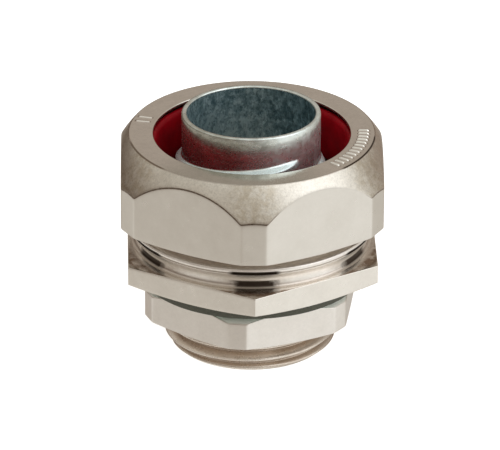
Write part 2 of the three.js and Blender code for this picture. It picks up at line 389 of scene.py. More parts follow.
def zinc(name, inside):
    """Zinc plating: mottled blue-grey spangle."""
    m, t, b = new_material(name)
    v = mm_coords(t)
    vor = t.nodes.new("ShaderNodeTexVoronoi")
    vor.inputs["Scale"].default_value = 1.7
    vor.inputs["Randomness"].default_value = 1.0
    add = t.nodes.new("ShaderNodeVectorMath")
    add.operation = "MULTIPLY_ADD"
    nn = t.nodes.new("ShaderNodeTexNoise")
    nn.inputs["Scale"].default_value = 2.3
    nn.inputs["Detail"].default_value = 4.0
    t.links.new(v, nn.inputs["Vector"])
    t.links.new(nn.outputs["Color"], add.inputs[0])
    add.inputs[1].default_value = (1.1, 1.1, 1.1)
    t.links.new(v, add.inputs[2])
    t.links.new(add.outputs[0], vor.inputs["Vector"])
    bw = t.nodes.new("ShaderNodeRGBToBW")
    t.links.new(vor.outputs["Color"], bw.inputs[0])
    blotch = noise(t, v, 1.5, 6.0, 0.7, 0.8)
    mixed = math_node(t, "ADD", math_node(t, "MULTIPLY", bw.outputs[0], 0.35), math_node(t, "MULTIPLY", blotch, 0.85))
    if inside:
        # spangle drawn out along the bore
        st = noise(t, mm_coords(t, (1.0, 1.0, 0.55)), 1.9, 5.0, 0.72, 0.5)
        big = noise(t, v, 0.22, 3.0, 0.5)
        mixed = math_node(t, "ADD", math_node(t, "MULTIPLY", mixed, 0.35), math_node(t, "ADD", math_node(t, "MULTIPLY", st, 0.5), math_node(t, "MULTIPLY", big, 0.22)))
        _, _, az = polar(t, v)
        pale = window(t, az, 92.0, 186.0, 40.0)
        mixed = math_node(t, "ADD", mixed, math_node(t, "MULTIPLY", pale, 0.06))
        c = ramp(t, mixed, [(0.47, (0.09, 0.155, 0.18)), (0.55, (0.19, 0.29, 0.32)), (0.62, (0.36, 0.49, 0.53)), (0.71, (0.72, 0.87, 0.90))])
        r = ramp(t, mixed, [(0.40, grey(0.56)), (0.7, grey(0.42))])
        h = math_node(t, "ADD", math_node(t, "MULTIPLY", st, 1.6), math_node(t, "MULTIPLY", noise(t, v, 7.0, 4.0, 0.6), 0.4))
        t.links.new(bump(t, h, 1.0, 5.0e-5), b.inputs["Normal"])
    else:
        # drawn round the axis, so its tone runs in bands
        rr, zz, ang = polar(t, v)
        comb = t.nodes.new("ShaderNodeCombineXYZ")
        t.links.new(math_node(t, "MULTIPLY", ang, 0.035), comb.inputs[0])
        t.links.new(zz, comb.inputs[2])
        streak = noise(t, comb.outputs[0], 2.2, 4.0, 0.6)
        mixed = math_node(t, "ADD", math_node(t, "MULTIPLY", bw.outputs[0], 0.10), noise(t, mm_coords(t, (1.0, 1.0, 1.6)), 1.1, 3.0, 0.55))
        c = ramp(t, mixed, [(0.3, (0.62, 0.68, 0.66)), (0.55, (0.80, 0.86, 0.84)), (0.8, (0.92, 0.98, 0.95))])
        c = mix_colour(t, 1.0, c, ramp(t, streak, [(0.3, (0.72, 0.70, 0.66)), (0.55, grey(1.0)), (0.8, (1.06, 1.06, 1.04))]), "MULTIPLY")
        # white oxide, rough and pale, on one side
        ox = math_node(t, "MULTIPLY", window(t, ang, -62.0, 20.0, 26.0), ramp_value(t, noise(t, mm_coords(t, (1.0, 1.0, 0.45)), 1.5, 4.0, 0.6), 0.25, 0.70))
        c = mix_colour(t, math_node(t, "MULTIPLY", ox, 0.6), c, (0.92, 1.0, 0.98))
        r = ramp(t, math_node(t, "SUBTRACT", mixed, math_node(t, "MULTIPLY", ox, 0.40)), [(0.0, grey(0.46)), (0.35, grey(0.30)), (0.8, grey(0.22))])
        h = math_node(t, "ADD", math_node(t, "MULTIPLY", noise(t, v, 1.1, 1.0, 0.4), 1.0), math_node(t, "MULTIPLY", streak, 0.30))
        h = math_node(t, "ADD", h, math_node(t, "MULTIPLY", noise(t, mm_coords(t, (1.0, 1.0, 1.6)), 3.0, 1.0, 0.5), 0.06))
        t.links.new(bump(t, h, 1.0, 2.0e-5), b.inputs["Normal"])
        # painted shade: darker on the left
        c = darken(t, c, window(t, ang, -190.0, -112.0, 22.0), 0.6, (0.66, 0.64, 0.58))
    t.links.new(c, b.inputs["Base Color"])
    t.links.new(r, b.inputs["Roughness"])
    b.inputs["Metallic"].default_value = 1.0
    if not inside:
        # the oxidised side is less of a mirror
        dull = math_node(t, "MULTIPLY", window(t, ang, -80.0, 30.0, 26.0), -0.11)
        t.links.new(math_node(t, "ADD", dull, 0.97), b.inputs["Metallic"])
    return m


def zinc_bead_painted_highlight(name):
    """The rolled bead: the same plating, made pale and a little bluish as a painted highlight."""
    m, t, b = new_material(name)
    v = mm_coords(t)
    n = noise(t, v, 1.8, 5.0, 0.65)
    t.links.new(ramp(t, n, [(0.3, (0.63, 0.74, 0.74)), (0.6, (0.77, 0.87, 0.87))]), b.inputs["Base Color"])
    t.links.new(ramp(t, n, [(0.3, grey(0.34)), (0.7, grey(0.24))]), b.inputs["Roughness"])
    b.inputs["Metallic"].default_value = 0.48
    t.links.new(bump(t, n, 1.0, 1.5e-5), b.inputs["Normal"])
    return m


def red_plastic(name):
    m, t, b = new_material(name)
    v = mm_coords(t)
    c = ramp(t, noise(t, v, 0.45, 4.0, 0.6), [(0.3, (0.26, 0.001, 0.006)), (0.7, (0.38, 0.002, 0.010))])
    c = mix_colour(t, 1.0, c, ramp(t, noise(t, v, 3.2, 4.0, 0.6), [(0.3, grey(0.88)), (0.7, grey(1.06))]), "MULTIPLY")
    t.links.new(c, b.inputs["Base Color"])
    t.links.new(ramp(t, noise(t, v, 1.6, 4.0, 0.6), [(0.3, grey(0.34)), (0.7, grey(0.46))]), b.inputs["Roughness"])
    b.inputs["Specular IOR Level"].default_value = 0.10
    h = noise(t, v, 12.0, 4.0, 0.6)
    t.links.new(bump(t, h, 0.6, 1.2e-5), b.inputs["Normal"])
    return m


def green_fibre(name):
    m, t, b = new_material(name)
    v = mm_coords(t)
    fibres = noise(t, mm_coords(t, (1.0, 1.0, 5.0)), 2.6, 5.0, 0.7, 0.4)
    c = ramp(t, fibres, [(0.3, (0.034, 0.033, 0.022)), (0.55, (0.055, 0.055, 0.038)), (0.8, (0.09, 0.10, 0.07))])
    _, z, _ = polar(t, v)
    # greener where the lower edge is cut
    low = window(t, z, 8.4, 8.62, 0.10)
    c = mix_colour(t, math_node(t, "MULTIPLY", low, 0.7), c, (0.045, 0.125, 0.08))
    t.links.new(c, b.inputs["Base Color"])
    t.links.new(ramp(t, noise(t, v, 5.0, 4.0, 0.6), [(0.3, grey(0.5)), (0.7, grey(0.72))]), b.inputs["Roughness"])
    t.links.new(bump(t, math_node(t, "ADD", fibres, math_node(t, "MULTIPLY", noise(t, v, 14.0, 3.0, 0.6), 0.4)), 0.8, 4.0e-5),
                b.inputs["Normal"])
    return m


LIGHT_NI, DARK_NI = (0.780, 0.735, 0.675), (0.735, 0.690, 0.628)


def ring_edge_painted_shade(t, v, c):
    """Painted shade in the fine step at the ring's outer edge, strong behind the scale, faint elsewhere."""
    r, z, a = polar(t, v)
    edge = math_node(t, "MULTIPLY", window(t, r, 14.03, 14.15, 0.05), window(t, z, 25.9, 26.2, 0.05))
    c = darken(t, c, math_node(t, "MULTIPLY", edge, window(t, a, -41.0, -6.0, 4.0)), 0.95, (0.08, 0.05, 0.03))
    c = darken(t, c, math_node(t, "MULTIPLY", edge, window(t, a, -166.0, -137.0, 5.0)), 0.8, (0.30, 0.23, 0.17))
    return darken(t, c, edge, 0.35)


def ring_front_painted_reflection(t, v, c):
    """Painted reflection: a dull greenish darkening on the front of the ring."""
    r, z, a = polar(t, v)
    k = math_node(t, "MULTIPLY", window(t, a, -122.0, -72.0, 26.0), window(t, r, 11.3, 14.2, 0.1))
    k = math_node(t, "MULTIPLY", k, math_node(t, "ADD", math_node(t, "MULTIPLY", noise(t, v, 0.8, 4.0, 0.6), 0.6), 0.6))
    return darken(t, c, k, 0.75, (0.66, 0.69, 0.66))


def raised_painted_highlight(t, v, c):
    """The raised marks get a painted highlight on top, and painted shade at their feet."""
    r, z, a = polar(t, v)
    up = window(t, z, 26.16, 27.0, 0.05)
    foot = window(t, z, 26.065, 26.12, 0.02)
    c = mix_colour(t, math_node(t, "MULTIPLY", up, 0.7), c, (0.95, 0.93, 0.88))
    return darken(t, c, foot, 0.45)


def dome_tarnish(t, v, c):
    """Grainy darker patches on the dome near the corners."""
    r, z, a = polar(t, v)
    rough = noise(t, v, 1.1, 6.0, 0.75)
    gr = noise(t, v, 3.2, 5.0, 0.8)
    k = math_node(t, "ADD", corner_window(t, a, 1.07, 5.0, 9.0), 0.12)
    k = math_node(t, "MULTIPLY", k, ramp_value(t, rough, 0.36, 0.62))
    c = darken(t, c, k, 0.75, (0.74, 0.69, 0.61))
    return darken(t, c, ramp_value(t, gr, 0.60, 0.72), 0.35, (0.55, 0.48, 0.40))


def ramp_value(t, value, lo, hi):
    m = t.nodes.new("ShaderNodeMapRange")
    m.interpolation_type = "SMOOTHSTEP"
    m.inputs["From Min"].default_value = lo
    m.inputs["From Max"].default_value = hi
    t.links.new(value, m.inputs[0])
    return m.outputs[0]


def cove_painted_shade(t, v, c):
    """Painted dark reflection and shade in the cove and under the collar towards each corner, and painted shade in the
    groove and at the cove's foot all round.
    """
    r, z, a = polar(t, v)
    n = noise(t, v, 0.9, 4.0, 0.65)
    near = corner_window(t, a, FLANGE_TURN, 4.0, 13.0)
    near = ramp_value(t, math_node(t, "ADD", near, math_node(t, "MULTIPLY", math_node(t, "SUBTRACT", n, 0.5), 0.9)), 0.22, 0.85)
    sharp = corner_window(t, a, FLANGE_TURN, 9.5, 3.5)
    lower = window(t, z, 13.06, 13.60, 0.20)
    under = window(t, z, 14.72, 15.16, 0.10)
    groove = window(t, z, 14.87, 15.0, 0.03)
    foot = window(t, z, 12.80, 13.16, 0.10)
    c = darken(t, c, math_node(t, "MULTIPLY", near, lower), 0.96, (0.04, 0.025, 0.015))
    c = darken(t, c, math_node(t, "MULTIPLY", sharp, under), 0.96, (0.04, 0.025, 0.015))
    c = darken(t, c, foot, 0.55, (0.50, 0.43, 0.36))
    return darken(t, c, groove, 0.45, (0.34, 0.27, 0.22))


def thread_painted_shade_and_tarnish(t, v, c):
    """Painted shade: brown roots under bright crests and a darker right side, with random darker spots."""
    r, z, a = polar(t, v)
    root = math_node(t, "SUBTRACT", 1.0, ramp_value(t, r, 9.35, 9.9))
    c = darken(t, c, math_node(t, "MULTIPLY", root, window(t, z, 0.5, 9.6, 0.1)), 0.60, (0.52, 0.43, 0.35))
    n = noise(t, v, 1.4, 5.0, 0.7)
    c = darken(t, c, window(t, a, -66.0, 60.0, 14.0), 0.62, (0.60, 0.56, 0.52))
    return darken(t, c, ramp_value(t, n, 0.58, 0.72), 0.3, (0.50, 0.41, 0.33))


def flange_top_painted_shade(t, v, c):
    """Painted shade and dark reflection on the flange's top towards its corners, with a paler streak near the edge."""
    r, z, a = polar(t, v)
    n = noise(t, v, 0.8, 4.0, 0.6, 0.5)
    k = window(t, r, 14.75, 15.6, 0.55)
    k = math_node(t, "MULTIPLY", k, ramp_value(t, n, 0.30, 0.60))
    return darken(t, c, k, 0.94, (0.33, 0.235, 0.17))


def arc_painted_shade(t, v, c):
    """Painted shade along the edge between dome and flats: dark in most places, lighter between -76 and -38 degrees."""
    r, z, a = polar(t, v)
    keep = window(t, a, -76.0, -38.0, 6.0)
    n = ramp_value(t, noise(t, v, 1.6, 3.0, 0.6), 0.30, 0.55)
    k = math_node(t, "MULTIPLY", math_node(t, "SUBTRACT", 1.0, math_node(t, "MULTIPLY", keep, 0.92)), math_node(t, "ADD", math_node(t, "MULTIPLY", n, 0.4), 0.6))
    return darken(t, c, k, 0.80, (0.26, 0.20, 0.15))


mat_edge = nickel("nickel_edge", LIGHT_NI, DARK_NI, 0.26, 0.36, grain=0.2, marks=(arc_painted_shade,))
mat_flat = nickel("nickel_flats", LIGHT_NI, DARK_NI, 0.27, 0.34, grain=0.03, grain_scale=10.0, wave=0.22, speckle=0.03)
mat_forged = nickel("nickel_forged", (0.81, 0.765, 0.685), (0.75, 0.70, 0.62), 0.28, 0.40, grain=0.45, grain_scale=8.0, pits=0.8,
                    marks=(dome_tarnish, ring_edge_painted_shade))
mat_ring = nickel("nickel_top_ring", LIGHT_NI, DARK_NI, 0.09, 0.15, grain=0.10, grain_scale=10.0, wave=0.25,
                  marks=(ring_edge_painted_shade, ring_front_painted_reflection, raised_painted_highlight))
mat_turned = nickel("nickel_turned", (0.95, 0.905, 0.85), (0.90, 0.85, 0.79), 0.30, 0.38, grain=0.05, lathe=0.10, metallic=0.90,
                    marks=(cove_painted_shade,))
mat_flange = nickel("nickel_flange", (0.86, 0.81, 0.745), (0.81, 0.76, 0.695), 0.26, 0.36, grain=0.05, grain_scale=10.0, wave=0.25, speckle=0.05)
mat_flange_top = nickel("nickel_flange_top", LIGHT_NI, DARK_NI, 0.16, 0.26, grain=0.06, lathe=0.1, marks=(flange_top_painted_shade,))
mat_thread = nickel("nickel_thread", (0.97, 0.90, 0.82), (0.90, 0.82, 0.73), 0.24, 0.34, grain=0.10, lathe=0.2, metallic=0.90,
                    marks=(thread_painted_shade_and_tarnish,))
mat_inner = nickel("nickel_inner", (0.56, 0.49, 0.42), (0.47, 0.41, 0.35), 0.38, 0.50, grain=0.15, lathe=0.25)
mat_lock = nickel("nickel_lock_nut", (0.86, 0.81, 0.76), (0.82, 0.77, 0.715), 0.28, 0.38, grain=0.05, grain_scale=10.0, wave=0.3,
                  speckle=0.06)
# Painted light: the lock nut's top chamfer is a near-white, mostly non-metallic copy of the nickel so that it looks lit
# like the flats.
mat_lock_chamfer_painted_light = nickel("nickel_lock_chamfer_painted_light", (1.0, 0.97, 0.91), (0.96, 0.92, 0.86), 0.46, 0.56, grain=0.10, grain_scale=10.0,
                          metallic=0.15, speckle=0.06)
mat_zinc_out = zinc("zinc_outside", False)
mat_zinc_in = zinc("zinc_bore", True)
mat_zinc_bead = zinc_bead_painted_highlight("zinc_bead_painted_highlight")
mat_red = red_plastic("red_polyamide")
mat_green = green_fibre("green_gasket")


# ------------------------------------------------------------------ compression nut
def ring_marks(theta, r):
    """Height of the plain raised marks on the nut's top ring, in mm: two bars on the left, a tick scale on the right."""
    deg = np.degrees(theta)
    h = np.zeros_like(deg)

    def bar(centre, half_deg, r0, r1, height, soft=0.45):
        nonlocal h
        d = (deg - centre + 180) % 360 - 180
        a = smooth(half_deg + soft - np.abs(d), 0.0, 2 * soft)
        b = smooth(r, r0 - 0.05, r0 + 0.15) * (1 - smooth(r, r1 - 0.35, r1 + 0.05))
        h = np.maximum(h, height * a * b)

    bar(163.2, 0.8, 11.9, 13.75, 0.13)
    bar(168.4, 0.8, 11.9, 13.75, 0.13)
    # a plain scale on the right: even ticks
    for c in np.linspace(1.5, -42.5, 13):
        bar(c, 0.75, 12.15, 13.55, 0.24)
    return h


def make_nut():
    planes = truncated_planes(NUT_A, NUT_F, NUT_TURN)
    th = columns(1.0, corner_angles(NUT_A, NUT_F, NUT_TURN), dense=((-46.0, 4.0), (159.0, 173.0)), dense_step=0.3)
    rp = polygon_radius(th, planes, 0.05)
    s = Section(th)
    FLAT, FORGED, RING, INNER, EDGE = 0, 1, 2, 3, 4
    zb0 = NUT_Z0
    # underside, from the bore outwards
    s.arc(NUT_BORE + 0.25, zb0 + 0.25, 0.25, 180, 270, 4, INNER)
    s.line(NUT_BORE + 0.25, zb0, 14.72, zb0, 3, INNER, (False, True))
    # underside chamfer: it climbs towards the truncated corners
    zc = zb0 + np.maximum(rp - 14.9, 0.02) * 0.235
    s.add(14.82, zb0 + 0.012, FLAT)
    for u in (0.25, 0.6, 0.85):
        s.add(14.9 + (rp - 14.9) * u, zb0 + 0.03 + (zc - zb0) * u, FLAT)
    s.add(rp - 0.03, zc + 0.012, FLAT)
    s.add(rp - 0.006, zc + 0.05, FLAT)
    # the flats and truncated corners
    d = rp - NUT_RING_R
    zs = NUT_Z1 - (1.09 * d + 0.21 * d * d)            # where the dome cuts this column
    lo = zc + 0.12
    hi = zs - 0.50
    for k in range(9):
        s.add(rp, lo + (hi - lo) * k / 8, FLAT)

    def dome_r(z):
        drop = np.maximum(NUT_Z1 - z, 0.0)
        return NUT_RING_R + (-1.09 + np.sqrt(1.09 ** 2 + 4 * 0.21 * drop)) / (2 * 0.21)

    for dz in (-0.42, -0.34, -0.27, -0.21, -0.16, -0.12, -0.08, -0.04, 0.0, 0.04, 0.08, 0.12, 0.16, 0.21, 0.27, 0.34, 0.42):
        z = zs + dz
        s.add(smin(rp, dome_r(z), 0.07), z, FLAT if dz < -0.13 else (EDGE if dz < 0.02 else FORGED))
    # the dome up to the ring's edge, which is slightly rounded
    top_d = 0.10
    z_hi = NUT_Z1 - (1.09 * top_d + 0.21 * top_d ** 2)
    z_lo = zs + 0.50
    for k in range(18):
        z = z_lo + (z_hi - z_lo) * k / 17
        s.add(smin(rp, dome_r(z), 0.07), z, FORGED)
    s.path([(NUT_RING_R + 0.055, NUT_Z1 - 0.062), (NUT_RING_R + 0.02, NUT_Z1 - 0.034), (NUT_RING_R - 0.02, NUT_Z1 - 0.014),
            (NUT_RING_R - 0.07, NUT_Z1 - 0.003), (NUT_RING_R - 0.13, NUT_Z1)], RING)
    # the ring with its raised marks
    n = 26
    for k in range(1, n):
        r = (NUT_RING_R - 0.13) + (NUT_OPENING + 0.17 - NUT_RING_R + 0.13) * k / n
        s.add(r, NUT_Z1 + ring_marks(th, r), RING)
    s.arc(NUT_OPENING + 0.15, NUT_Z1 - 0.15, 0.15, 90, 180, 6, RING)
    # lip and the inner cone that presses the ring
    s.path([(NUT_OPENING, NUT_Z1 - 0.2), (NUT_OPENING, 25.80)], INNER)
    s.path([(NUT_OPENING + 0.02, 25.75), (NUT_OPENING + 0.07, 25.71), (12.0, 25.54), (12.06, 25.51)], INNER)
    s.line(12.08, 25.47, 13.18, 23.53, 5, INNER, (True, True))
    s.path([(13.22, 23.47), (13.3, 23.42), (NUT_BORE - 0.06, 22.96), (NUT_BORE, 22.88)], INNER)
    # internal thread, half a pitch off the body's
    z0, z1 = NUT_Z0 + 0.42, 22.75
    s.thread(z0, z1, PITCH, BODY_CREST + PITCH / 2, NUT_BORE, 0.72,
             [(0.0, 1.0), (0.04, 0.99), (0.07, 0.93), (0.16, 0.66), (0.24, 0.40), (0.31, 0.15), (0.36, 0.03), (0.5, 0.0),
              (0.64, 0.03), (0.69, 0.15), (0.76, 0.40), (0.84, 0.66), (0.93, 0.93), (0.96, 0.99)],
             limit=lambda z: np.maximum(NUT_BORE - 0.02 - (z - z0) * 0.9, np.maximum(NUT_BORE - 0.02 - (z1 - z) * 1.2, 0)),
             zone=INNER, up=False, inward=True)
    s.path([(NUT_BORE, NUT_Z0 + 0.38)], INNER)
    return s.build("nut_nickel", [mat_flat, mat_forged, mat_ring, mat_inner, mat_edge])


# ------------------------------------------------------------------ gland body
ENTRY_CREST = 1.73 + PITCH * 90 / 360      # crest height of the entry thread at angle 0
BODY_CREST = 16.9


def make_body():
    planes = [(rad(-60 + 60 * i + FLANGE_TURN), FLANGE_A) for i in range(6)]
    corners = [-90 + 60 * i + FLANGE_TURN for i in range(6)]
    th = columns(1.5, corners, spread=(0.0, 0.05, 0.12, 0.25, 0.5, 0.9))
    rp = polygon_radius(th, planes, 0.03)
    s = Section(th)
    TURNED, FLANGE, THREAD_M, INNER, FTOP = 0, 1, 2, 3, 4
    # end face of the entry thread, from the bore outwards
    s.arc(ENTRY_BORE + 0.3, 0.3, 0.3, 180, 270, 5, INNER)
    s.line(ENTRY_BORE + 0.3, 0.0, 8.95, 0.0, 3, TURNED, (False, True))
    s.path([(9.03, 0.012), (9.07, 0.05)], THREAD_M)
    s.thread(0.10, 9.6, PITCH, ENTRY_CREST, ENTRY_MINOR, ENTRY_MAJOR - ENTRY_MINOR, THREAD,
             limit=lambda z: np.minimum(9.06 + (z - 0.05) * 1.15, ENTRY_MINOR + np.maximum(9.6 - z, 0.0) * 1.6), zone=THREAD_M)
    s.path([(ENTRY_MINOR - 0.1, 9.75), (ENTRY_MINOR - 0.1, FLANGE_Z0 - 0.12), (ENTRY_MINOR, FLANGE_Z0 - 0.02)], TURNED)
    # flange: underside, corner chamfer, wall, top
    s.line(ENTRY_MINOR + 0.1, FLANGE_Z0, 13.9, FLANGE_Z0, 5, TURNED, (True, True))
    ch = FLANGE_Z0 + np.maximum(rp - (FLANGE_A - 0.12), 0.03) * 0.25
    s.add(14.08, FLANGE_Z0 + 0.008, FLANGE)
    for u in (0.3, 0.6, 0.85, 0.96):
        s.add(14.1 + (rp - 14.1) * u, FLANGE_Z0 + 0.015 + (ch - FLANGE_Z0) * u, FLANGE)
    s.add(rp - 0.02, ch + 0.01, FLANGE)
    s.add(rp, ch + 0.045, FLANGE)
    for k in range(1, 9):
        s.add(rp, ch + 0.045 + (FLANGE_Z1 - 0.06 - ch - 0.045) * k / 8, FLANGE)
    s.add(rp - 0.008, FLANGE_Z1 - 0.028, FLANGE)
    s.add(rp - 0.03, FLANGE_Z1 - 0.007, FLANGE)
    s.add(rp - 0.06, FLANGE_Z1, FTOP)
    foot = 13.92
    for k in range(1, 8):
        u = k / 8
        s.add((rp - 0.06) + (foot - rp + 0.06) * u, FLANGE_Z1, FTOP)
    # cove up to the collar, whose wall leans in a little towards the groove below it
    s.path([(foot, FLANGE_Z1), (13.80, 12.885), (13.70, 12.93), (13.60, 13.01), (13.53, 13.12), (13.49, 13.28), (13.47, 13.48),
            (13.48, 13.68), (13.51, 13.86), (13.57, 14.04), (13.66, 14.22), (13.77, 14.38), (13.90, 14.54), (14.03, 14.67),
            (14.12, 14.75), (14.165, 14.79), (14.17, 14.815), (14.15, 14.835), (14.05, 14.86), (14.015, 14.88),
            (14.0, 14.91), (14.0, 14.955), (14.015, 14.985), (14.05, 15.005), (14.16, 15.02), (14.215, 15.035), (14.245, 15.06),
            (14.26, 15.10), (14.267, 15.20), (14.27, 15.27), (COLLAR_R, 15.33), (COLLAR_R - 0.01, 15.385), (COLLAR_R - 0.04, 15.44),
            (COLLAR_R - 0.09, 15.485), (COLLAR_R - 0.17, 15.52), (COLLAR_R - 0.30, 15.54),
            (13.80, 15.55), (13.5, 15.55), (12.75, 15.56)], TURNED)
    s.path([(12.58, 15.62), (12.50, 15.75), (12.50, 16.15)], THREAD_M)
    s.thread(16.2, BODY_TOP - 0.12, PITCH, BODY_CREST, BODY_MINOR, BODY_MAJOR - BODY_MINOR, THREAD,
             limit=lambda z: np.minimum(12.52 + np.maximum(z - 16.2, 0) * 1.5, 12.55 + np.maximum(BODY_TOP - 0.12 - z, 0) * 1.2),
             zone=THREAD_M)
    # rim, cone for the sealing ring, ferrule seat, bore
    s.path([(12.48, BODY_TOP - 0.04), (12.40, BODY_TOP), (12.2, BODY_TOP), (12.12, BODY_TOP - 0.03), (12.09, BODY_TOP - 0.10)], INNER)
    s.line(12.09, BODY_TOP - 0.10, 11.3, 18.0, 6, INNER)
    s.path([(11.3, 18.0), (11.24, 17.9), (SEAT_R + 0.05, 17.65), (SEAT_R, 17.55)], INNER)
    s.line(SEAT_R, 17.55, SEAT_R, SEAT_Z + 0.2, 6, INNER)
    s.path([(SEAT_R, SEAT_Z + 0.2), (SEAT_R - 0.06, SEAT_Z + 0.06), (SEAT_R - 0.2, SEAT_Z)], INNER)
    s.line(SEAT_R - 0.2, SEAT_Z, ENTRY_BORE + 0.2, SEAT_Z, 3, INNER)
    s.path([(ENTRY_BORE + 0.2, SEAT_Z), (ENTRY_BORE + 0.06, SEAT_Z - 0.06), (ENTRY_BORE, SEAT_Z - 0.2)], INNER)
    s.line(ENTRY_BORE, SEAT_Z - 0.2, ENTRY_BORE, 0.36, 8, INNER)
    s.add(ENTRY_BORE, 0.36, INNER)
    return s.build("body_nickel", [mat_turned, mat_flange, mat_thread, mat_inner, mat_flange_top])


# ------------------------------------------------------------------ sealing ring
def make_sealing_ring():
    th = columns(2.0)
    s = Section(th)
    s.path([(10.75, 19.72), (10.79, 19.63), (10.87, 19.6), (11.05, 19.6), (11.13, 19.64), (11.17, 19.72)])
    s.line(11.17, 19.72, 11.83, 22.12, 4)
    s.path([(11.84, 22.14), (11.9, 22.21), (12.0, 22.24), (12.72, 22.34), (12.82, 22.40), (12.85, 22.5), (12.85, 23.2),
            (12.83, 23.32)])
    s.line(12.83, 23.32, 11.84, 25.10, 5)
    s.path([(11.84, 25.10), (11.78, 25.18), (11.68, 25.24), (11.42, 25.30), (11.30, 25.30), (11.22, 25.27), (11.15, 25.21)])
    s.line(11.15, 25.21, 10.99, 24.98, 3)
    s.path([(10.99, 24.98), (10.94, 24.88), (10.90, 24.75)])
    s.line(10.90, 24.75, 10.76, 24.1, 4)
    s.line(10.76, 24.1, 10.75, 19.72, 8)
    return s.build("ring_polyamide_red", [mat_red])


# ------------------------------------------------------------------ ferrule
def make_ferrule():
    th = columns(1.5)
    s = Section(th)
    OUT, IN = 0, 1
    ri = FERRULE_R - FERRULE_WALL
    z0 = FERRULE_Z0
    s.path([(ri + 0.02, z0 + 0.75), (ri + 0.1, z0 + 0.42), (ri + 0.25, z0 + 0.2), (ri + 0.5, z0 + 0.06), (ri + 0.9, z0)], IN)
    s.line(ri + 0.9, z0, FERRULE_FLARE - 0.3, z0, 4, OUT)
    s.arc(FERRULE_FLARE - 0.3, z0 + 0.32, 0.30, -80, 80, 8, OUT)
    s.line(FERRULE_FLARE - 0.3, z0 + 0.62, FERRULE_R + 0.75, z0 + 0.66, 4, OUT)
    s.path([(FERRULE_R + 0.7, z0 + 0.66), (FERRULE_R + 0.42, z0 + 0.72), (FERRULE_R + 0.2, z0 + 0.88), (FERRULE_R + 0.05, z0 + 1.12),
            (FERRULE_R, z0 + 1.4)], OUT)
    half = 0.60 * 2 / RIDGE_LEAD               # half the bead's width, in parts of the distance between beads
    us = [0.0, 0.02, 0.04, 0.06, 0.08, 0.10, 0.12, 0.14, 0.16, 0.18, 0.20, 0.23, 0.30, 0.40, 0.50, 0.60, 0.70, 0.77, 0.80, 0.82, 0.84,
          0.86, 0.88, 0.90, 0.92, 0.94, 0.96, 0.98]
    bead = [(u, 0.5 + 0.5 * math.cos(math.pi * min(1.0, min(u, 1 - u) / half))) for u in us]
    crest0 = RIDGE_END_Z - RIDGE_LEAD * RIDGE_END / 360.0

    def gain(t, z):
        # height of the helix through this point above the run-out: both starts end at their own angle
        deg = np.degrees(t)
        g = np.zeros_like(deg)
        for start in (0, 1):
            end_deg = RIDGE_END + 180.0 * start
            # unwrapped angle of the crest of this start nearest to z
            a = (z - RIDGE_END_Z) / RIDGE_LEAD * 360.0 + end_deg
            if start:
                end_deg -= 126.0               # the second start runs out sooner
            k = np.round((a - deg) / 360.0)
            along = end_deg - (deg + 360.0 * k)
            off = np.abs(a - (deg + 360.0 * k)) < 91
            up = smooth(along, -2.0, 26.0)
            g = np.where(off, np.maximum(g, up), g)
        return g * smooth(z, z0 + 1.4, z0 + 2.6)

    s.thread(z0 + 1.4, 26.3, RIDGE_LEAD, crest0, FERRULE_R, RIDGE_R - FERRULE_R, bead, zone=OUT, starts=2, gain=gain)
    s.line(FERRULE_R, 26.35, FERRULE_R, FERRULE_TOP - 0.2, 3, OUT)
    s.path([(FERRULE_R, FERRULE_TOP - 0.2), (FERRULE_R - 0.02, FERRULE_TOP - 0.11), (FERRULE_R - 0.08, FERRULE_TOP - 0.035),
            (FERRULE_R - 0.17, FERRULE_TOP), (ri + 0.17, FERRULE_TOP), (ri + 0.07, FERRULE_TOP - 0.03), (ri + 0.015, FERRULE_TOP - 0.11),
            (ri, FERRULE_TOP - 0.2)], OUT)
    s.path([(ri, FERRULE_TOP - 0.22), (ri, FERRULE_TOP - 0.27)], IN)
    s.line(ri, FERRULE_TOP - 0.27, ri, z0 + 0.95, 16, IN)
    s.add(ri, z0 + 0.95, IN)
    obj = s.build("ferrule_zinc", [mat_zinc_out, mat_zinc_in, mat_zinc_bead])
    # the bead's faces take the pale painted-highlight material
    for f in obj.data.polygons:
        if math.hypot(f.center.x, f.center.y) > (FERRULE_R + 0.10) * 1e-3 and 19e-3 < f.center.z < 26.3e-3:
            f.material_index = 2
    # it stands loose in its seat and leans back and to the left by its play
    pivot = Matrix.Translation((0, 0, z0 * 1e-3))
    obj.data.transform(pivot @ Matrix.Rotation(rad(-1.5), 4, "X") @ Matrix.Rotation(rad(-0.35), 4, "Y") @ pivot.inverted())
    return obj


# ------------------------------------------------------------------ gasket and lock nut
def make_gasket():
    th = columns(2.0)
    s = Section(th)
    wob = 0.02 * np.sin(3 * th + 0.7) + 0.015 * np.sin(7 * th) + 0.008 * np.sin(17 * th + 1.0)
    gr, z0, z1 = GASKET_R - 0.05 + wob, GASKET_Z0, GASKET_Z1
    s.path([(GASKET_BORE + 0.1, z0)])
    s.line(GASKET_BORE + 0.1, z0, 12.95, z0, 4)
    for a in (-80, -50, -20, 0, 20, 50, 80):
        s.add(gr - 0.14 + 0.14 * math.cos(rad(a)), (z0 + 0.14 if a <= 0 else z1 - 0.14) + 0.14 * math.sin(rad(a)))
        if a == 0:
            s.add(gr, (z0 + z1) / 2)
    s.line(12.9, z1, GASKET_BORE + 0.1, z1, 4, ends=(True, True))
    s.path([(GASKET_BORE, z1 - 0.1), (GASKET_BORE, z0 + 0.1)])
    return s.build("gasket_green", [mat_green])


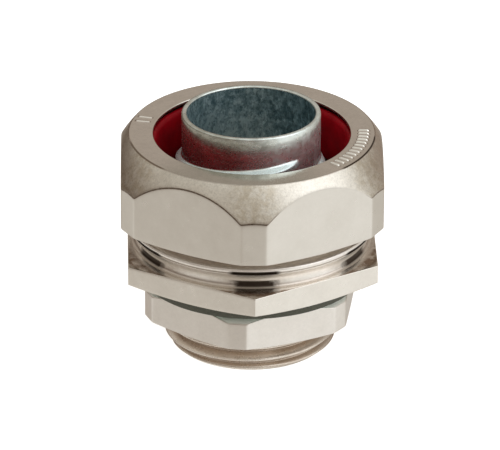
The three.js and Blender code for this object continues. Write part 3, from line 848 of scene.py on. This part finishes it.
def make_lock_nut():
    planes = truncated_planes(LOCK_A, LOCK_F, LOCK_TURN)
    th = columns(1.5, corner_angles(LOCK_A, LOCK_F, LOCK_TURN))
    rp = polygon_radius(th, planes, 0.05)
    s = Section(th)
    FLAT, INNER, CHAMFER = 0, 1, 2
    z0, z1 = LOCK_Z0, LOCK_Z1 + 0.06
    s.path([(LOCK_BORE, z0 + 0.42), (LOCK_BORE + 0.12, z0 + 0.22), (LOCK_BORE + 0.32, z0 + 0.02)], INNER)
    s.line(LOCK_BORE + 0.36, z0, 11.3, z0, 2, FLAT, (True, True))
    cb = z0 + np.maximum(rp - 11.5, 0.0) * 0.19
    s.add(11.38, z0 + 0.01, FLAT)
    for u in (0.3, 0.65, 0.9):
        s.add(11.4 + (rp - 11.4) * u, z0 + 0.012 + (cb - z0) * u, FLAT)
    s.add(rp - 0.03, cb, FLAT)
    s.add(rp - 0.005, cb + 0.04, FLAT)
    ct = z1 - np.maximum(rp - 11.3, 0.0) * 0.50
    lo, hi = cb + 0.1, ct - 0.12
    for k in range(11):
        s.add(rp, lo + (hi - lo) * k / 10, FLAT)
    s.add(rp - 0.005, ct - 0.05, FLAT)
    s.add(rp - 0.03, ct + 0.0, FLAT)
    s.add(rp - 0.08, ct + 0.035, CHAMFER)
    for u in (0.75, 0.5, 0.25, 0.08):
        s.add(11.3 + (rp - 11.3) * u, z1 - np.maximum(rp - 11.3, 0) * u * 0.50, CHAMFER)
    s.path([(11.28, z1 - 0.005), (11.2, z1)], CHAMFER)
    s.line(11.2, z1, LOCK_BORE + 0.36, z1, 2, FLAT)
    s.path([(LOCK_BORE + 0.36, z1), (LOCK_BORE + 0.32, z1 - 0.02), (LOCK_BORE + 0.12, z1 - 0.22), (LOCK_BORE, z1 - 0.38)], INNER)
    a, b = z0 + 0.42, z1 - 0.40
    s.thread(a, b, PITCH, ENTRY_CREST + PITCH / 2, LOCK_BORE, 0.72,
             [(0.0, 1.0), (0.04, 0.99), (0.07, 0.93), (0.16, 0.66), (0.24, 0.40), (0.31, 0.15), (0.36, 0.03), (0.5, 0.0),
              (0.64, 0.03), (0.69, 0.15), (0.76, 0.40), (0.84, 0.66), (0.93, 0.93), (0.96, 0.99)],
             limit=lambda z: np.maximum(LOCK_BORE - 0.02 - (z - a) * 0.9, np.maximum(LOCK_BORE - 0.02 - (b - z) * 0.9, 0)),
             zone=INNER, up=False, inward=True)
    return s.build("lock_nut_nickel", [mat_lock, mat_thread, mat_lock_chamfer_painted_light])


for obj, cad, body, slot in (
    (make_nut(), "compression_nut", "nut", "nut_metal"),
    (make_body(), "gland_body", "body", "body_metal"),
    (make_sealing_ring(), "sealing_ring", "seal", "ring_polyamide"),
    (make_ferrule(), "ferrule", "ferrule", "ferrule_steel"),
    (make_gasket(), "entry_gasket", "gasket", "gasket_fibre"),
    (make_lock_nut(), "lock_nut", "locknut", "lock_nut_metal"),
):
    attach(obj, body)
    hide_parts(cad)

# ------------------------------------------------------------------ floor, light, camera
floor_mesh = bpy.data.meshes.new("floor")
floor_mesh.from_pydata([(-3, -3, 0), (3, -3, 0), (3, 3, 0), (-3, 3, 0)], [], [(0, 1, 2, 3)])
floor = bpy.data.objects.new("floor", floor_mesh)
bpy.context.scene.collection.objects.link(floor)
floor.location.z = -0.00002
fm, ft, fb = new_material("floor_pale")
fb.inputs["Base Color"].default_value = (0.93, 0.93, 0.93, 1)
fb.inputs["Roughness"].default_value = 0.9
fb.inputs["Specular IOR Level"].default_value = 0.0
fb.inputs["Emission Color"].default_value = (1, 1, 1, 1)
fb.inputs["Emission Strength"].default_value = 0.72
floor_mesh.materials.append(fm)
floor.visible_glossy = False

world = bpy.data.worlds.new("studio")
bpy.context.scene.world = world
world.use_nodes = True
wt = world.node_tree
wt.nodes.clear()
w_out = wt.nodes.new("ShaderNodeOutputWorld")
w_bg = wt.nodes.new("ShaderNodeBackground")
wt.links.new(w_bg.outputs[0], w_out.inputs[0])
w_co = wt.nodes.new("ShaderNodeTexCoord")
w_dir = w_co.outputs["Generated"]


def lobe(az, el, inner, outer):
    """1 inside a cone of half-angle inner degrees about a direction, falling to 0 at outer. az 0 is towards the viewer's
    side (-Y), 90 to the right (+X)."""
    a, e = rad(az), rad(el)
    d = t_dot = wt.nodes.new("ShaderNodeVectorMath")
    t_dot.operation = "DOT_PRODUCT"
    t_dot.inputs[1].default_value = (math.sin(a) * math.cos(e), -math.cos(a) * math.cos(e), math.sin(e))
    wt.links.new(w_dir, t_dot.inputs[0])
    m = wt.nodes.new("ShaderNodeMapRange")
    m.interpolation_type = "SMOOTHSTEP"
    m.inputs["From Min"].default_value = math.cos(rad(outer))
    m.inputs["From Max"].default_value = math.cos(rad(inner))
    wt.links.new(d.outputs["Value"], m.inputs[0])
    return m.outputs[0]


w_sep = wt.nodes.new("ShaderNodeSeparateXYZ")
wt.links.new(w_dir, w_sep.inputs[0])


def band(centre, inner, outer, axis=2):
    """1 where the direction's component along an axis lies within inner of centre, 0 past outer."""
    d = math_node(wt, "ABSOLUTE", math_node(wt, "SUBTRACT", w_sep.outputs[axis], centre))
    m = wt.nodes.new("ShaderNodeMapRange")
    m.interpolation_type = "SMOOTHSTEP"
    m.inputs["From Min"].default_value = outer
    m.inputs["From Max"].default_value = inner
    wt.links.new(d, m.inputs[0])
    return m.outputs[0]


def add_lobe(total, amount, az, el, inner, outer):
    return math_node(wt, "ADD", total, math_node(wt, "MULTIPLY", lobe(az, el, inner, outer), amount))


total = math_node(wt, "ADD", math_node(wt, "MULTIPLY", w_sep.outputs[0], 0.02), 0.59)
total = add_lobe(total, 0.36, 62, -26, 22, 62)       # bright card low on the right
total = add_lobe(total, 0.09, -62, -30, 12, 50)      # a weaker one on the left
total = add_lobe(total, 0.20, -108, -26, 8, 24)      # a strip beside it
total = add_lobe(total, -0.10, -134, -26, 10, 30)    # and less behind
total = add_lobe(total, 1.05, 66, 42, 14, 40)        # key softbox
total = add_lobe(total, 0.22, 0, 90, 10, 50)         # top light
total = add_lobe(total, -0.12, 180, 26, 18, 50)      # the room behind
# dark gap round the horizon on the left and the back
gap = math_node(wt, "MULTIPLY", band(0.0, 0.12, 0.32), math_node(wt, "SUBTRACT", 1.0, lobe(75, 0, 22, 60)))
gap = math_node(wt, "MULTIPLY", gap, math_node(wt, "SUBTRACT", 1.0, math_node(wt, "MULTIPLY", lobe(150, -9, 14, 34), 0.4)))
total = math_node(wt, "MULTIPLY", total, math_node(wt, "SUBTRACT", 1.0, math_node(wt, "MULTIPLY", gap, 0.80)))
# dim light is warm, bright light is neutral
tint = ramp(wt, math_node(wt, "MULTIPLY", total, 0.5), [(0.0, (0.96, 0.66, 0.48)), (0.14, (0.96, 0.73, 0.58)), (0.27, (0.96, 0.905, 0.82)),
                                                       (0.44, (0.96, 0.96, 0.92)), (0.62, (0.96, 0.98, 1.0))])
scaled = wt.nodes.new("ShaderNodeVectorMath")
scaled.operation = "SCALE"
wt.links.new(tint, scaled.inputs[0])
wt.links.new(math_node(wt, "MULTIPLY", total, 1.04), scaled.inputs["Scale"])
wt.links.new(scaled.outputs[0], w_bg.inputs["Color"])
w_bg.inputs["Strength"].default_value = 1.0

cam_data = bpy.data.cameras.new("camera")
cam = bpy.data.objects.new("camera", cam_data)
bpy.context.scene.collection.objects.link(cam)
bpy.context.scene.camera = cam
EL, ROLL, DIST = 26.11, 0.33, 0.5782
target = Vector((-0.147e-3, 0.0, 14.15e-3))
back = Vector((0.0, -math.cos(rad(EL)), math.sin(rad(EL))))
cam.rotation_mode = "QUATERNION"
cam.location = target + back * DIST
cam.rotation_quaternion = (-back).to_track_quat("-Z", "Y") @ Quaternion((0, 0, 1), rad(ROLL))
cam_data.sensor_width = 36.0
cam_data.lens = 36.0 * 578.2 / 57.75
cam_data.clip_start, cam_data.clip_end = 0.01, 20.0

bpy.context.scene.view_settings.view_transform = "Standard"
